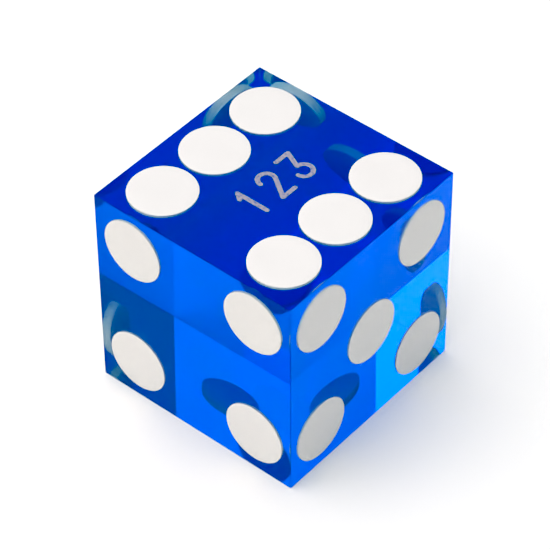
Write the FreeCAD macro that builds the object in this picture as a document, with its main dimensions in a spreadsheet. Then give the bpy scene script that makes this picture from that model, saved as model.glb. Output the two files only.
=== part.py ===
import FreeCAD, Part
import math
import os

import Sketcher

# A precision casino die: a transparent acetate cube with 21 inlaid pips, ground flush, and a
# three-digit foil number stamped between the rows of the six. Millimetres.
# Origin: the centre of the bottom face, which is the one. +Z leaves through the six, -Y through
# the four and +X through the five. Opposite faces add up to seven.

V = FreeCAD.Vector
doc = FreeCAD.newDocument("casino_die")

# ---- driving dimensions ----------------------------------------------------------------------
DIMENSIONS = [
    ("edge", 19.05, "between opposite faces: three quarters of an inch"),
    ("edge_break", 0.03, "the flat left along each razor edge, measured on a face"),
    ("pip_diameter", 5.52, "bore of the cutter, and so of every inlay"),
    ("pip_depth", 0.43, "of the flat-bottomed recess: seventeen thousandths of an inch"),
    ("pip_spacing", 5.90, "from the middle of a face to its outer pips, both ways"),
    ("foil_depth", 0.06, "how deep the hot stamp beds the foil"),
    ("digit_height", 3.30, "over the strokes"),
    ("digit_width", 1.80, "over the strokes of a two or a three"),
    ("digit_stroke", 0.42, "width of a stroke"),
    ("digit_pitch", 2.60, "from the middle of one digit to the next"),
]

sheet = doc.addObject("Spreadsheet::Sheet", "dims")
for row, (alias, size, meaning) in enumerate(DIMENSIONS, start=1):
    sheet.set(f"A{row}", meaning)
    sheet.set(f"B{row}", str(size))
    sheet.setAlias(f"B{row}", alias)
doc.recompute()

# Expressions for the centre lines of the digits' strokes.
LINE_WIDTH = "(dims.digit_width - dims.digit_stroke)"
LINE_HEIGHT = "(dims.digit_height - dims.digit_stroke)"
BOWL_HEIGHT = "((dims.digit_height - dims.digit_width) / 2)"

# ---- the six numbered faces ------------------------------------------------------------------
# Each face is drawn on one of the cube's origin planes, moved along the plane's normal: side is
# 1 where the normal leaves the cube there, and -1 where it enters. A pip's place on its face is
# in pip spacings along the plane's two axes.
PLANES = {
    "XY_Plane": {"normal": (0, 0, 1), "across": (1, 0, 0), "up": (0, 1, 0)},
    "XZ_Plane": {"normal": (0, -1, 0), "across": (1, 0, 0), "up": (0, 0, 1)},
    "YZ_Plane": {"normal": (1, 0, 0), "across": (0, 1, 0), "up": (0, 0, 1)},
}
CENTRE = [(0, 0)]
RISING = [(-1, -1), (1, 1)]
FALLING = [(-1, 1), (1, -1)]
FACES = {
    1: {"plane": "XY_Plane", "side": -1, "pips": CENTRE},
    2: {"plane": "YZ_Plane", "side": -1, "pips": RISING},
    3: {"plane": "XZ_Plane", "side": -1, "pips": FALLING + CENTRE},
    4: {"plane": "XZ_Plane", "side": 1, "pips": RISING + FALLING},
    5: {"plane": "YZ_Plane", "side": 1, "pips": RISING + FALLING + CENTRE},
    6: {"plane": "XY_Plane", "side": 1, "pips": RISING + FALLING + [(-1, 0), (1, 0)]},
}
# The cube's middle stands half an edge above the origin.
MIDDLE = (0, 0, 1)
PIP_VOLUME = math.pi * (sheet.pip_diameter / 2) ** 2 * sheet.pip_depth


def originPlane(body, role):
    return next(f for f in body.Origin.OriginFeatures if f.Role == role)


def planeSketch(body, role, name):
    sketch = body.newObject("Sketcher::SketchObject", name)
    sketch.AttachmentSupport = [(originPlane(body, role), "")]
    sketch.MapMode = "FlatFace"
    return sketch


def dimension(sketch, constraint, expression):
    """Adds a dimension to a sketch and ties it to the sheet."""
    index = sketch.addConstraint(constraint)
    sketch.setExpression(f"Constraints[{index}]", expression)


def pin(sketch, geometry, point, x, y):
    """Holds a point of a sketch by its signed distances from the origin, each a share of an
    expression: (share, expression). A share of 0 puts the point on the axis."""
    for kind, axis, (share, span) in (("DistanceX", -2, x), ("DistanceY", -1, y)):
        if share == 0:
            sketch.addConstraint(Sketcher.Constraint("PointOnObject", geometry, point, axis))
            continue
        ends = (-1, 1, geometry, point) if share > 0 else (geometry, point, -1, 1)
        dimension(sketch, Sketcher.Constraint(kind, *ends, 1.0), f"{abs(share)} * {span}")


# Which point of an edge a constraint takes.
START, END, MID = 1, 2, 3


def pipCircle(sketch, column, row):
    spacing, radius = sheet.pip_spacing, sheet.pip_diameter / 2
    centre = V(column * spacing, row * spacing, 0)
    circle = sketch.addGeometry(Part.Circle(centre, V(0, 0, 1), radius))
    pin(sketch, circle, MID, (column, "dims.pip_spacing"), (row, "dims.pip_spacing"))
    dimension(sketch, Sketcher.Constraint("Diameter", circle, 2 * radius), "dims.pip_diameter")


# ---- the cube --------------------------------------------------------------------------------
def squareSketch(body):
    sketch = planeSketch(body, "XY_Plane", "floor_square")
    half = sheet.edge / 2
    corners = [V(-half, -half, 0), V(half, -half, 0), V(half, half, 0), V(-half, half, 0)]
    for i in range(4):
        sketch.addGeometry(Part.LineSegment(corners[i], corners[(i + 1) % 4]))
    for i in range(4):
        sketch.addConstraint(Sketcher.Constraint("Coincident", i, END, (i + 1) % 4, START))
        sketch.addConstraint(Sketcher.Constraint("Vertical" if i % 2 else "Horizontal", i))
    sketch.addConstraint(Sketcher.Constraint("Symmetric", 0, START, 2, START, -1, 1))
    for kind, i in (("DistanceX", 0), ("DistanceY", 1)):
        dimension(sketch, Sketcher.Constraint(kind, i, START, i, END, 2 * half), "dims.edge")
    return sketch


def faceSketch(body, value):
    """A sketch in the face of that value, with its origin in the middle of the face."""
    face = FACES[value]
    plane = PLANES[face["plane"]]
    sketch = planeSketch(body, face["plane"], f"face_{value}")
    outer = face["side"] + plane["normal"][2]
    sketch.setExpression("AttachmentOffset.Base.z", f"{outer} * dims.edge / 2")
    sketch.setExpression("AttachmentOffset.Base.y", f"{plane['up'][2]} * dims.edge / 2")
    return sketch


def makeCube():
    """The solid block, its edges broken, with the pips' recesses cut in each face."""
    body = doc.addObject("PartDesign::Body", "block")
    pad = body.newObject("PartDesign::Pad", "cube")
    pad.Profile = squareSketch(body)
    pad.setExpression("Length", "dims.edge")
    doc.recompute()
    breaks = body.newObject("PartDesign::Chamfer", "razor_edges")
    breaks.Base = (pad, [])
    breaks.UseAllEdges = True
    breaks.setExpression("Size", "dims.edge_break")
    doc.recompute()
    for value, face in FACES.items():
        before = body.Shape.Volume
        sketch = faceSketch(body, value)
        for column, row in face["pips"]:
            pipCircle(sketch, column, row)
        pocket = body.newObject("PartDesign::Pocket", f"recesses_{value}")
        pocket.Profile = sketch
        pocket.Reversed = face["side"] < 0
        pocket.setExpression("Length", "dims.pip_depth")
        doc.recompute()
        cut = before - body.Shape.Volume
        if abs(cut - value * PIP_VOLUME) > 0.001 * PIP_VOLUME:
            raise ValueError(f"the recesses of face {value} took away {cut:.3f} cubic mm")
    return body


# ---- the inlaid pips -------------------------------------------------------------------------
def makePip(value, number, column, row):
    """One disc of white filler, its front in the XY plane of its own body and facing +Z."""
    face = FACES[value]
    plane = PLANES[face["plane"]]
    outward = [face["side"] * n for n in plane["normal"]]
    body = doc.addObject("PartDesign::Body", f"pip_{value}_{number}")
    sketch = planeSketch(body, "XY_Plane", "front")
    pipCircle(sketch, 0, 0)
    pad = body.newObject("PartDesign::Pad", "disc")
    pad.Profile = sketch
    pad.Reversed = True
    pad.setExpression("Length", "dims.pip_depth")
    body.Placement = FreeCAD.Placement(V(0, 0, 0), FreeCAD.Rotation(V(0, 0, 1), V(*outward)))
    for i, letter in enumerate("xyz"):
        onFace = column * plane["across"][i] + row * plane["up"][i]
        body.setExpression(
            f"Placement.Base.{letter}",
            f"{MIDDLE[i] + outward[i]} * dims.edge / 2 + {onFace} * dims.pip_spacing",
        )
    return body


# ---- the stamped number ----------------------------------------------------------------------
# A digit is drawn about its own middle as the centre line of its stroke.
def lineThrough(sketch, places):
    """Straight strokes through places given in half widths and half heights of the line."""
    half = V((sheet.digit_width - sheet.digit_stroke) / 2,
             (sheet.digit_height - sheet.digit_stroke) / 2, 0)
    points = [V(x * half.x, y * half.y, 0) for x, y in places]
    lines = [sketch.addGeometry(Part.LineSegment(a, b)) for a, b in zip(points, points[1:])]
    for a, b in zip(lines, lines[1:]):
        sketch.addConstraint(Sketcher.Constraint("Coincident", a, END, b, START))
    return lines


def pinEnd(sketch, line, point, place):
    x, y = place
    pin(sketch, line, point, (x / 2, LINE_WIDTH), (y / 2, LINE_HEIGHT))


def bowl(sketch, up, first, last):
    """An arc as wide as the digit, from the angle first round to the angle last, its middle
    above (up is 1) or below (up is -1) the digit's."""
    radius = (sheet.digit_width - sheet.digit_stroke) / 2
    middle = V(0, up * (sheet.digit_height - sheet.digit_width) / 2, 0)
    circle = Part.Circle(middle, V(0, 0, 1), radius)
    arc = sketch.addGeometry(Part.ArcOfCircle(circle, math.radians(first), math.radians(last)))
    pin(sketch, arc, MID, (0, ""), (up, BOWL_HEIGHT))
    dimension(sketch, Sketcher.Constraint("Radius", arc, radius), f"{LINE_WIDTH} / 2")
    return arc


def drawOne(sketch):
    flag, top, foot = (-0.5, 0.6), (0.1, 1), (0.1, -1)
    slope, stem = lineThrough(sketch, [flag, top, foot])
    pinEnd(sketch, slope, START, flag)
    pinEnd(sketch, stem, START, top)
    pinEnd(sketch, stem, END, foot)


def drawTwo(sketch):
    # The bowl runs from its left round to where the neck leaves it as a tangent.
    shoulder, heel, toe = (0.7, 0), (-1, -1), (1, -1)
    arc = bowl(sketch, 1, -44, 180)
    neck, foot = lineThrough(sketch, [shoulder, heel, toe])
    sketch.addConstraint(Sketcher.Constraint("Horizontal", arc, END, arc, MID))
    pinEnd(sketch, foot, START, heel)
    pinEnd(sketch, foot, END, toe)
    sketch.addConstraint(Sketcher.Constraint("Tangent", arc, START, neck, START))


def drawThree(sketch):
    # Three quarters of a circle under a flat top and a slanting neck.
    left, right, waist = (-1, 1), (1, 1), (0, 0.15)
    arc = bowl(sketch, -1, 180, 450)
    top, neck = lineThrough(sketch, [left, right, waist])
    pinEnd(sketch, top, START, left)
    pinEnd(sketch, neck, START, right)
    sketch.addConstraint(Sketcher.Constraint("Horizontal", arc, START, arc, MID))
    sketch.addConstraint(Sketcher.Constraint("Vertical", arc, END, arc, MID))
    sketch.addConstraint(Sketcher.Constraint("Coincident", neck, END, arc, END))


DRAW = {"1": drawOne, "2": drawTwo, "3": drawThree}
STAMPED_NUMBER = "123"


def makeDigit(number, figure):
    """A foil digit flush with the six. Seen from above it reads along +Y, its top towards -X."""
    sketch = doc.addObject("Sketcher::SketchObject", f"centre_line_{number}")
    DRAW[figure](sketch)
    stroke = doc.addObject("Part::Offset2D", f"stroke_{number}")
    stroke.Source = sketch
    stroke.Mode = "Pipe"
    stroke.Join = "Arc"
    stroke.Fill = True
    stroke.setExpression("Value", "dims.digit_stroke / 2")
    digit = doc.addObject("Part::Extrusion", f"foil_digit_{number}")
    digit.Base = stroke
    digit.DirMode = "Custom"
    digit.Dir = V(0, 0, -1)
    digit.Solid = True
    digit.setExpression("LengthFwd", "dims.foil_depth")
    digit.Placement = FreeCAD.Placement(V(0, 0, 0), FreeCAD.Rotation(V(0, 0, 1), 90))
    step = number - (len(STAMPED_NUMBER) + 1) / 2
    digit.setExpression("Placement.Base.y", f"{step} * dims.digit_pitch")
    digit.setExpression("Placement.Base.z", "dims.edge")
    return digit


# ---- assembly --------------------------------------------------------------------------------
block = makeCube()
pips = [
    makePip(value, number, column, row)
    for value, face in FACES.items()
    for number, (column, row) in enumerate(face["pips"], start=1)
]
digits = [makeDigit(number, figure) for number, figure in enumerate(STAMPED_NUMBER, start=1)]

beds = doc.addObject("Part::MultiFuse", "digit_beds")
beds.Shapes = digits
cube = doc.addObject("Part::Cut", "acetate_cube")
cube.Base = block
cube.Tool = beds
doc.recompute()

# ---- checks ----------------------------------------------------------------------------------
for thing in doc.Objects:
    if "Invalid" in thing.State or "Error" in thing.State:
        raise ValueError(f"{thing.Name} failed: {thing.State}")

nodes = [cube] + pips + digits
for node in nodes:
    node.Label = node.Name
    if node.Shape.isNull() or not node.Shape.isValid() or len(node.Shape.Solids) != 1:
        raise ValueError(f"{node.Label} is not one good solid")

# Block, pips and digits fill the cube between them, but for the sliver lost along each edge.
whole = sum(node.Shape.Volume for node in nodes)
lost = 12 * sheet.edge * sheet.edge_break**2 / 2
if abs(sheet.edge**3 - lost - whole) > 0.01 * lost:
    raise ValueError(f"the pieces leave a gap or overlap: {whole:.4f} cubic mm")

# ---- files -----------------------------------------------------------------------------------
os.makedirs("parts", exist_ok=True)
for node in nodes:
    node.Shape.exportStep(f"parts/{node.Label}.step")
print(f"{len(nodes)} sub-parts, {whole:.2f} cubic mm in all")
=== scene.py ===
import math

import bmesh
import bpy
from mathutils import Matrix, Vector
from mathutils.geometry import delaunay_2d_cdt


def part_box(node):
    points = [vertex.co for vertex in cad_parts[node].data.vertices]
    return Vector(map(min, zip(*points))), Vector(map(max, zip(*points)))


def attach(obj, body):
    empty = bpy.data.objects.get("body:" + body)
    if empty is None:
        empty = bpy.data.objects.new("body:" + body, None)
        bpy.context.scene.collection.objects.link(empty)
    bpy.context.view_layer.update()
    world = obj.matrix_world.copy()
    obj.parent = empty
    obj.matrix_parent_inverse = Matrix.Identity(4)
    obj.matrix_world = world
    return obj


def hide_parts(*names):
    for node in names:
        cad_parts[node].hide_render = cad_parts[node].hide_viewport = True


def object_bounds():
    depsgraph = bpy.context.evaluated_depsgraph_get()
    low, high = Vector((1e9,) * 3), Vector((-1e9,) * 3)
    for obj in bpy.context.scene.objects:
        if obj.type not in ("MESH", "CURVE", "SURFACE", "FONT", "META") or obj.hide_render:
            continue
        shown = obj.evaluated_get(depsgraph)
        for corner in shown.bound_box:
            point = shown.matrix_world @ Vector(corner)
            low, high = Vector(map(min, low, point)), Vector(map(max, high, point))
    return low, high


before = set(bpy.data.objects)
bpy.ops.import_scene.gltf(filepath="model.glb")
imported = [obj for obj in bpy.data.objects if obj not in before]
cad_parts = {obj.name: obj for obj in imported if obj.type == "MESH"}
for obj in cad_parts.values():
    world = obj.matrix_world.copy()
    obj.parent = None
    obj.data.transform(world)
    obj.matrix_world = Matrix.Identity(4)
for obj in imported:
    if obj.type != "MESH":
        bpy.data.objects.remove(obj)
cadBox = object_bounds()

mm = 0.001
sameWay = 0.9  # two unit vectors whose dot product is above this point the same way
scene = bpy.context.scene

# A casino die: a block of blue acetate, its white pips and a stamped number.

viewpoint = {
    "distance": 230.9 * mm,  # from the middle of the die
    "azimuth": 40.5,         # degrees round from looking along +Y
    "elevation": 44.37,      # degrees above the floor
    "roll": -0.48,
    "lens": 196.7,           # on a sensor 36 mm wide
    "clip": 100,             # how many times nearer and farther than the die is still drawn
}


def makeCamera():
    middle = (cadBox[0] + cadBox[1]) / 2
    azimuth, elevation = math.radians(viewpoint["azimuth"]), math.radians(viewpoint["elevation"])
    back = Vector((
        math.sin(azimuth) * math.cos(elevation),
        -math.cos(azimuth) * math.cos(elevation),
        math.sin(elevation),
    ))
    data = bpy.data.cameras.new("camera")
    data.lens = viewpoint["lens"]
    data.clip_start = viewpoint["distance"] / viewpoint["clip"]
    data.clip_end = viewpoint["distance"] * viewpoint["clip"]
    camera = bpy.data.objects.new("camera", data)
    scene.collection.objects.link(camera)
    turn = (-back).to_track_quat("-Z", "Y").to_matrix().to_4x4()
    roll = Matrix.Rotation(math.radians(viewpoint["roll"]), 4, "Z")
    camera.matrix_world = Matrix.Translation(middle + back * viewpoint["distance"]) @ turn @ roll
    scene.camera = camera


makeCamera()
print("camera set")


class Value:
    # One output of a node. Sums, differences and products with it add Math nodes.
    def __init__(self, recipe, socket):
        self.recipe = recipe
        self.socket = socket

    def maths(self, operation, a, b):
        return self.recipe.add("ShaderNodeMath", {"operation": operation}, {0: a, 1: b})

    def __add__(self, other):
        return self.maths("ADD", self, other)

    def __radd__(self, other):
        return self.maths("ADD", other, self)

    def __sub__(self, other):
        return self.maths("SUBTRACT", self, other)

    def __rsub__(self, other):
        return self.maths("SUBTRACT", other, self)

    def __mul__(self, other):
        return self.maths("MULTIPLY", self, other)

    def __rmul__(self, other):
        return self.maths("MULTIPLY", other, self)

    def __getitem__(self, name):
        # Another output of the same node.
        return Value(self.recipe, self.socket.node.outputs[name])


class Recipe:
    # The nodes of one material, or of the world.
    def __init__(self, tree):
        self.nodes = tree.nodes
        self.links = tree.links
        self.nodes.clear()

    def add(self, kind, settings=None, inputs=None, output=0):
        node = self.nodes.new(kind)
        for name, setting in (settings or {}).items():
            if name == "stops":
                self.setStops(node.color_ramp.elements, setting)
            else:
                setattr(node, name, setting)
        for name, given in (inputs or {}).items():
            if isinstance(given, Value):
                self.links.new(given.socket, node.inputs[name])
            else:
                node.inputs[name].default_value = given
        return Value(self, node.outputs[output]) if node.outputs else None

    def setStops(self, elements, stops):
        while len(elements) < len(stops):
            elements.new(0.5)
        for element, (place, shade) in zip(elements, stops):
            element.position = place
            element.color = shade

    def ramp(self, factor, stops):
        return self.add("ShaderNodeValToRGB", {"stops": stops}, {"Fac": factor})

    def tint(self, factor, a, b):
        # Two colours mixed by a mask.
        return self.add("ShaderNodeMix", {"data_type": "RGBA"}, {0: factor, 6: a, 7: b}, output=2)

    def noise(self, place, scale, detail=3.0):
        return self.add("ShaderNodeTexNoise", {}, {"Vector": place, "Scale": scale, "Detail": detail})

    def bump(self, height, depth):
        return self.add("ShaderNodeBump", {}, {"Height": height, "Strength": 1.0, "Distance": depth})

    def place(self, stretch=(1, 1, 1)):
        # Object coordinates in millimetres, so that a noise scale is in marks per millimetre.
        spot = self.add("ShaderNodeTexCoord", output="Object")
        scale = tuple(s / mm for s in stretch)
        return self.add("ShaderNodeMapping", {}, {"Vector": spot, "Scale": scale})


def newMaterial(name):
    material = bpy.data.materials.new(name)
    material.use_nodes = True
    return material, Recipe(material.node_tree)


def addPiece(name, bm, material, nodes):
    # Turns a bmesh into a piece that stands for CAD nodes and rides on the die's one body.
    mesh = bpy.data.meshes.new(name)
    bm.to_mesh(mesh)
    bm.free()
    mesh.materials.append(material)
    piece = bpy.data.objects.new(name, mesh)
    scene.collection.objects.link(piece)
    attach(piece, "root")
    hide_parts(*nodes)
    return piece


def roundLoop(count):
    # Each place on a closed loop, with the place after it.
    return [(i, (i + 1) % count) for i in range(count)]


def isInside(spot, loop):
    # Counts the loop's sides that a ray from the spot crosses.
    crossings = 0
    for a, b in zip(loop, loop[1:] + loop[:1]):
        if (a.y > spot.y) != (b.y > spot.y):
            if spot.x < a.x + (spot.y - a.y) / (b.y - a.y) * (b.x - a.x):
                crossings += 1
    return crossings % 2 == 1


def shifted(loop, distance):
    # A counterclockwise loop moved outwards by a distance, or inwards if it is negative.
    moved = []
    for before, here, after in zip(loop[-1:] + loop[:-1], loop, loop[1:] + loop[:1]):
        along = (after - before).normalized()
        moved.append(here + Vector((along.y, -along.x)) * distance)
    return moved


# The blue acetate is clear at its surface and takes its colour from the depth of the block.

acetate = {
    "surface": (1.0, 1.0, 1.0, 1.0),
    "absorbColor": (0.0, 0.635, 0.99, 1.0),
    "absorbDensity": 260.0,   # per metre, for the colour that goes first
    "ior": 1.48,
    "roughness": 0.02,
    "edgeRoughness": 0.4,     # the razor edges are cut, not polished
    "glint": (0.15, 0.35, 1.0, 1.0),  # the tint of what its faces mirror head on
    "haze": 0.35,             # clouds in the polish, per millimetre
    "hazeRoughness": 0.02,    # and how much rougher they are
    "lines": (0.56, 9.6, 4.8),  # polishing lines per millimetre along X, Y and Z
    "lineDepth": 0.0001 * mm,
}


def blueAcetate(name, smoothest):
    material, recipe = newMaterial(name)
    haze = recipe.noise(recipe.place(), acetate["haze"])
    lines = recipe.noise(recipe.place(acetate["lines"]), scale=1.0, detail=4.0)
    surface = recipe.add("ShaderNodeBsdfPrincipled", {}, {
        "Base Color": acetate["surface"],
        "Roughness": haze * acetate["hazeRoughness"] + smoothest,
        "IOR": acetate["ior"],
        "Transmission Weight": 1.0,
        "Specular Tint": acetate["glint"],
        "Normal": recipe.bump(lines, acetate["lineDepth"]),
    })
    inside = recipe.add("ShaderNodeVolumeAbsorption", {}, {
        "Color": acetate["absorbColor"],
        "Density": acetate["absorbDensity"],
    })
    recipe.add("ShaderNodeOutputMaterial", {}, {"Surface": surface, "Volume": inside})
    return material


# The filler is a warm white paste, ground flush with the acetate.

filler = {
    "white": (0.80, 0.76, 0.725, 1.0),
    "shade": (0.74, 0.70, 0.665, 1.0),
    "clouds": 0.5,            # per millimetre
    "cloudStops": [(0.35, (0, 0, 0, 1)), (0.75, (0.35, 0.35, 0.35, 1))],
    "grain": 5.0,             # per millimetre
    "grainDepth": 0.0008 * mm,
    "grainRoughness": 0.12,
    "roughness": 0.4,
    "ior": 1.5,
}


def whiteFiller():
    material, recipe = newMaterial("whiteFiller")
    place = recipe.place()
    clouds = recipe.ramp(recipe.noise(place, filler["clouds"], detail=4.0), filler["cloudStops"])
    grain = recipe.noise(place, filler["grain"], detail=2.0)
    surface = recipe.add("ShaderNodeBsdfPrincipled", {}, {
        "Base Color": recipe.tint(clouds, filler["white"], filler["shade"]),
        "Roughness": grain * filler["grainRoughness"] + filler["roughness"],
        "IOR": filler["ior"],
        "Normal": recipe.bump(grain, filler["grainDepth"]),
    })
    recipe.add("ShaderNodeOutputMaterial", {}, {"Surface": surface})
    return material


# The foil is worn through in flecks, where the blue shows.

foil = {
    "silver": (0.43, 0.36, 0.42, 1.0),
    "worn": (0.14, 0.15, 0.36, 1.0),
    "flecks": 6.0,            # per millimetre
    "fleckStops": [(0.5, (0, 0, 0, 1)), (0.68, (1, 1, 1, 1))],
    "creases": 5.0,           # per millimetre
    "creaseDepth": 0.003 * mm,
    "creaseRoughness": 0.2,
    "metallic": 0.6,
    "roughness": 0.38,
}


def silverFoil():
    material, recipe = newMaterial("silverFoil")
    place = recipe.place()
    flecks = recipe.ramp(recipe.noise(place, foil["flecks"]), foil["fleckStops"])
    creases = recipe.noise(place, foil["creases"], detail=5.0)
    surface = recipe.add("ShaderNodeBsdfPrincipled", {}, {
        "Base Color": recipe.tint(flecks, foil["silver"], foil["worn"]),
        "Metallic": foil["metallic"],
        "Roughness": creases * foil["creaseRoughness"] + foil["roughness"],
        "Normal": recipe.bump(creases, foil["creaseDepth"]),
    })
    recipe.add("ShaderNodeOutputMaterial", {}, {"Surface": surface})
    return material


# Each pip is a disc turned about its own axis and set into its recess.

inlay = {
    "sides": 128,
    "seat": 0.02 * mm,        # how far filler and acetate key into each other
    "flush": 0.003 * mm,      # how far the front lies under the face
    "dish": 0.006 * mm,       # sink of the front's middle
    "dishSteps": 4,
    "rim": 0.015 * mm,        # rounding round the front
    "heel": 0.05 * mm,        # rounding round the back, left by the cutter's corner
    "roundSteps": 4,
}


def pipNodes():
    return sorted(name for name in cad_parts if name.startswith("pip_"))


def pipSeat(node):
    # Where a pip's front lies, which way it faces, its radius and its depth, from its box.
    low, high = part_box(node)
    size = high - low
    thin = min(range(3), key=lambda i: size[i])
    cubeLow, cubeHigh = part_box("acetate_cube")
    front = (low + high) / 2
    outward = Vector((0, 0, 0))
    outward[thin] = 1 if front[thin] > (cubeLow[thin] + cubeHigh[thin]) / 2 else -1
    front[thin] = (cubeHigh if outward[thin] > 0 else cubeLow)[thin]
    return front, outward, max(size) / 2, size[thin]


def pipProfile(radius, depth):
    # Half the section of a pip, from the middle of its front round to the middle of its back.
    rim, heel, steps = inlay["rim"], inlay["heel"], inlay["roundSteps"]
    flat = radius - rim
    points = []
    for step in range(inlay["dishSteps"]):
        share = step / inlay["dishSteps"]
        points.append((flat * share, -inlay["flush"] - inlay["dish"] * (1 - share**2)))
    quarter = [math.pi / 2 * step / steps for step in range(steps + 1)]
    for angle in quarter:
        points.append((flat + rim * math.sin(angle), -inlay["flush"] - rim * (1 - math.cos(angle))))
    for angle in quarter:
        points.append((radius - heel * (1 - math.cos(angle)), -depth + heel * (1 - math.sin(angle))))
    points.append((0, -depth))
    return points


def makePip(node, material):
    front, outward, radius, depth = pipSeat(node)
    bm = bmesh.new()
    rings = []
    for r, z in pipProfile(radius, depth):
        count = inlay["sides"] if r > 0 else 1
        angles = [2 * math.pi * i / count for i in range(count)]
        rings.append([bm.verts.new((r * math.cos(a), r * math.sin(a), z)) for a in angles])
    for upper, lower in zip(rings, rings[1:]):
        for i, j in roundLoop(inlay["sides"]):
            corners = [upper[i % len(upper)], lower[i % len(lower)],
                       lower[j % len(lower)], upper[j % len(upper)]]
            bm.faces.new(list(dict.fromkeys(corners))).smooth = True
    turn = Vector((0, 0, 1)).rotation_difference(outward).to_matrix().to_4x4()
    bm.transform(Matrix.Translation(front) @ turn)
    bmesh.ops.recalc_face_normals(bm, faces=bm.faces[:])
    addPiece(node.replace("pip", "inlay"), bm, material, [node])


def makePips():
    material = whiteFiller()
    for node in pipNodes():
        makePip(node, material)


# The stamped number follows the outlines of the CAD digits.

figure = {
    "seat": 0.01 * mm,        # how far foil and acetate key into each other
    "sink": 0.012 * mm,       # how far the foil lies under the face
    "edge": 0.02 * mm,        # the foil's rounded border
    "edgeShare": 0.3,         # where the border's middle ring lies
}


def digitNodes():
    return sorted(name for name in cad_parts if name.startswith("foil_digit"))


def digitOutline(node):
    # The border of a digit's top, counterclockwise seen from above. Its corners are rounded to
    # a hundredth of a micron, so that sides which share one find each other.
    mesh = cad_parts[node].data
    sides = set()
    for polygon in mesh.polygons:
        if polygon.normal.z > sameWay:
            spots = [tuple(round(c / mm, 5) for c in mesh.vertices[i].co.xy) for i in polygon.vertices]
            sides.update(zip(spots, spots[1:] + spots[:1]))
    onward = {a: b for a, b in sides if (b, a) not in sides}
    loop = [min(onward)]
    while onward[loop[-1]] != loop[0]:
        loop.append(onward[loop[-1]])
    return [Vector(spot) * mm for spot in loop]


def makeDigit(node, material):
    low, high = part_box(node)
    outline = digitOutline(node)
    seat, edge, share = figure["seat"], figure["edge"], figure["edgeShare"]
    top = high.z - figure["sink"]
    # Borders of the foil from its top down to its back: how far out, and how high.
    layers = [
        (seat - edge, top),
        (seat - edge * share, top - edge * share),
        (seat, top - edge),
        (seat, low.z),
    ]
    bm = bmesh.new()
    rings = []
    for outwards, height in layers:
        rings.append([bm.verts.new((*spot, height)) for spot in shifted(outline, outwards)])
    for upper, lower in zip(rings, rings[1:]):
        for i, j in roundLoop(len(upper)):
            bm.faces.new([upper[i], lower[i], lower[j], upper[j]]).smooth = True
    ends = [bm.faces.new(rings[0]), bm.faces.new(rings[-1][::-1])]
    bm.normal_update()
    bmesh.ops.triangulate(bm, faces=ends)
    addPiece(node.replace("foil_digit", "foilFigure"), bm, material, [node])


def makeDigits():
    material = silverFoil()
    for node in digitNodes():
        makeDigit(node, material)


# The block is a cube with cut edges, opened again for every pip and digit.

block = {
    "edgeBreak": 0.03 * mm,   # flat along each razor edge
    "edgeSteps": 3,
}


def circleLoop(middle, radius, sides):
    angles = [2 * math.pi * i / sides for i in range(sides)]
    return [middle + Vector((math.cos(a), math.sin(a))) * radius for a in angles]


def holesOf(face, flatten):
    # Every recess of one face of the block, as a loop on the face and a depth.
    holes = []
    for node in pipNodes():
        front, outward, radius, depth = pipSeat(node)
        if outward.dot(face.normal) > sameWay:
            loop = circleLoop(flatten(front), radius - inlay["seat"], inlay["sides"])
            holes.append((loop, depth - inlay["seat"]))
    if face.normal.z > sameWay:
        for node in digitNodes():
            low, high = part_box(node)
            outline = [flatten(Vector((*spot, high.z))) for spot in digitOutline(node)]
            holes.append((shifted(outline, -figure["seat"]), high.z - low.z - figure["seat"]))
    return holes


def openFace(bm, face):
    # Fills a face again round its recesses, and gives each recess its wall and floor.
    middle = face.calc_center_median()
    normal = face.normal.copy()
    across = (face.verts[1].co - face.verts[0].co).normalized()
    up = normal.cross(across)

    def flatten(spot):
        return Vector(((spot - middle).dot(across), (spot - middle).dot(up)))

    holes = holesOf(face, flatten)
    corners = list(face.verts)
    flat = [flatten(corner.co) for corner in corners]
    sides = roundLoop(len(corners))
    rings = []
    for loop, depth in holes:
        first = len(flat)
        flat += loop
        sides += [(first + i, first + j) for i, j in roundLoop(len(loop))]
        rings.append([bm.verts.new(middle + across * x + up * y) for x, y in loop])
    verts = corners + [vert for ring in rings for vert in ring]
    # The triangles are found in millimetres, because the sizes are small.
    closeness = 1e-6
    found = delaunay_2d_cdt([spot / mm for spot in flat], sides, [], 0, closeness)
    spots, triangles, origins = found[0], found[2], found[3]
    bm.faces.remove(face)
    loops = [[spot / mm for spot in loop] for loop, depth in holes]
    for triangle in triangles:
        centre = sum((spots[i] for i in triangle), Vector((0, 0))) / len(triangle)
        if not any(isInside(centre, loop) for loop in loops):
            bm.faces.new([verts[origins[i][0]] for i in triangle])
    for ring, (loop, depth) in zip(rings, holes):
        floor = [bm.verts.new(vert.co - normal * depth) for vert in ring]
        for i, j in roundLoop(len(ring)):
            bm.faces.new([ring[i], ring[j], floor[j], floor[i]])
        bottom = bm.faces.new(floor)
        bottom.normal_update()
        bmesh.ops.triangulate(bm, faces=[bottom])


def makeBlock():
    low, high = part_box("acetate_cube")
    edge = high.x - low.x
    bm = bmesh.new()
    bmesh.ops.create_cube(bm, size=edge, matrix=Matrix.Translation((low + high) / 2))
    bmesh.ops.bevel(
        bm, geom=bm.edges[:], offset=block["edgeBreak"], segments=block["edgeSteps"],
        profile=0.5, affect="EDGES",
    )
    large = [face for face in bm.faces if face.calc_area() > edge**2 / 2]
    for face in bm.faces:
        face.smooth = face not in large
        face.material_index = 0 if face in large else 1
    for face in large:
        openFace(bm, face)
    bmesh.ops.recalc_face_normals(bm, faces=bm.faces[:])
    polished = blueAcetate("polishedAcetate", acetate["roughness"])
    piece = addPiece("acetateBlock", bm, polished, ["acetate_cube"])
    piece.data.materials.append(blueAcetate("cutEdge", acetate["edgeRoughness"]))


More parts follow.
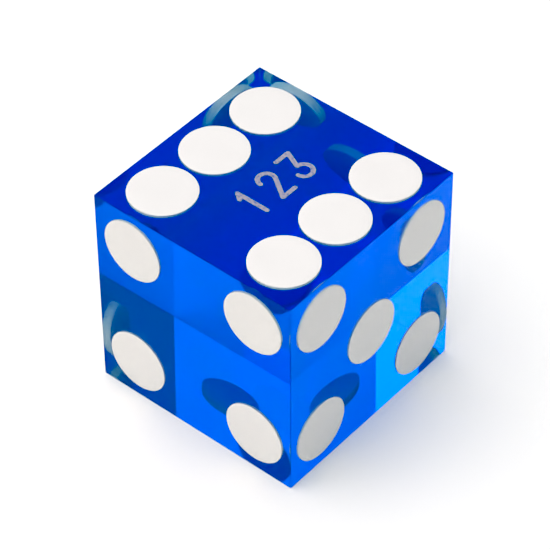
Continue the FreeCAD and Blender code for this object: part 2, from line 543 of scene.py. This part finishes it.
makePips()
print("pips set")
makeDigits()
print("digits stamped")
makeBlock()
print("block cut and polished")

board = {
    "size": 1.6,              # metres along each side
    "gap": 0.02 * mm,         # air under the die
    "white": (0.89, 0.87, 0.83, 1.0),
    "glow": 0.08,             # a board lit a little from inside, as a light table is
    "grain": 3.0,             # per millimetre
    "grainRoughness": 0.1,
    "roughness": 0.7,
}


def makeFloor():
    material, recipe = newMaterial("paleBoard")
    grain = recipe.noise(recipe.place(), board["grain"])
    surface = recipe.add("ShaderNodeBsdfPrincipled", {}, {
        "Base Color": board["white"],
        "Roughness": grain * board["grainRoughness"] + board["roughness"],
        "Emission Color": board["white"],
        "Emission Strength": board["glow"],
    })
    recipe.add("ShaderNodeOutputMaterial", {}, {"Surface": surface})
    bm = bmesh.new()
    bmesh.ops.create_grid(bm, x_segments=1, y_segments=1, size=board["size"] / 2)
    mesh = bpy.data.meshes.new("floor")
    bm.to_mesh(mesh)
    bm.free()
    mesh.materials.append(material)
    floor = bpy.data.objects.new("floor", mesh)
    floor.location.z = cadBox[0].z - board["gap"]
    scene.collection.objects.link(floor)


# The room is a white surround: brighter overhead and on the sides of -X and -Y.

room = {
    "overhead": 1.36,         # brightness of the ceiling, of its slopes and of the lowest part
    "slopes": 0.3,
    "lower": 0.1,
    "leftwards": 0.76,        # how much brighter the side of -X is
    "frontwards": 0.65,       # and the side of -Y
    "softbox": 1.15,          # added brightness of a broad softbox straight above
    "softboxBorder": (0.87, 0.93),
    "band": 0.2,              # height of the white band round the horizon
    "shade": (0.5, 0.66, 1.0, 1.0),  # tint of the dim side
    "white": (1.0, 1.0, 1.0, 1.0),   # and of the bright side
}


def makeRoom():
    world = bpy.data.worlds.new("softRoom")
    world.use_nodes = True
    scene.world = world
    recipe = Recipe(world.node_tree)
    direction = recipe.add("ShaderNodeTexCoord", output="Generated")
    axes = recipe.add("ShaderNodeSeparateXYZ", {}, {"Vector": direction})
    height = axes["Z"]
    slope = 1 - axes["X"] * room["leftwards"] - axes["Y"] * room["frontwards"]
    ceiling = (height * (height * room["overhead"] + room["slopes"]) + room["lower"]) * slope
    band = recipe.add("ShaderNodeMapRange", {"interpolation_type": "SMOOTHSTEP"}, {
        "Value": height, "From Min": 0.0, "From Max": room["band"], "To Min": 1.0, "To Max": 0.0,
    })
    softbox = recipe.add("ShaderNodeMapRange", {"interpolation_type": "SMOOTHSTEP"}, {
        "Value": height,
        "From Min": room["softboxBorder"][0], "From Max": room["softboxBorder"][1],
        "To Min": 0.0, "To Max": room["softbox"],
    })
    brightness = ceiling * (1 - band) + band + softbox
    background = recipe.add("ShaderNodeBackground", {}, {
        "Color": recipe.tint(slope + band, room["shade"], room["white"]), "Strength": brightness,
    })
    recipe.add("ShaderNodeOutputWorld", {}, {"Surface": background})


# One round softbox stands high at the front left.

keyLight = {
    "towards": (-0.464, -0.5435, 0.699),
    "distance": 0.6,          # metres, from the middle of the floor
    "size": 0.21,             # metres across
    "brightness": 2.1,        # of its face, where the white of the room is 1
}


def makeKeyLight():
    data = bpy.data.lights.new("softbox", "AREA")
    data.shape = "DISK"
    data.size = keyLight["size"]
    area = math.pi * (keyLight["size"] / 2) ** 2
    data.energy = keyLight["brightness"] * math.pi * area  # the watts of a flat lamp that bright
    towards = Vector(keyLight["towards"]).normalized()
    softbox = bpy.data.objects.new("softbox", data)
    softbox.location = towards * keyLight["distance"]
    softbox.rotation_mode = "QUATERNION"
    softbox.rotation_quaternion = towards.to_track_quat("Z", "Y")
    scene.collection.objects.link(softbox)


tone = {
    "blackPoint": (0.083, 0.022, 0.01),  # red, green and blue that turn black
}


def setTone():
    scene.view_settings.view_transform = "Standard"
    scene.view_settings.use_curve_mapping = True
    curve = scene.view_settings.curve_mapping
    curve.black_level = tone["blackPoint"]
    curve.update()
    scene.cycles.denoising_input_passes = "RGB"  # the other passes are grainy behind glass


makeFloor()
makeRoom()
makeKeyLight()
setTone()
print("floor and light set")
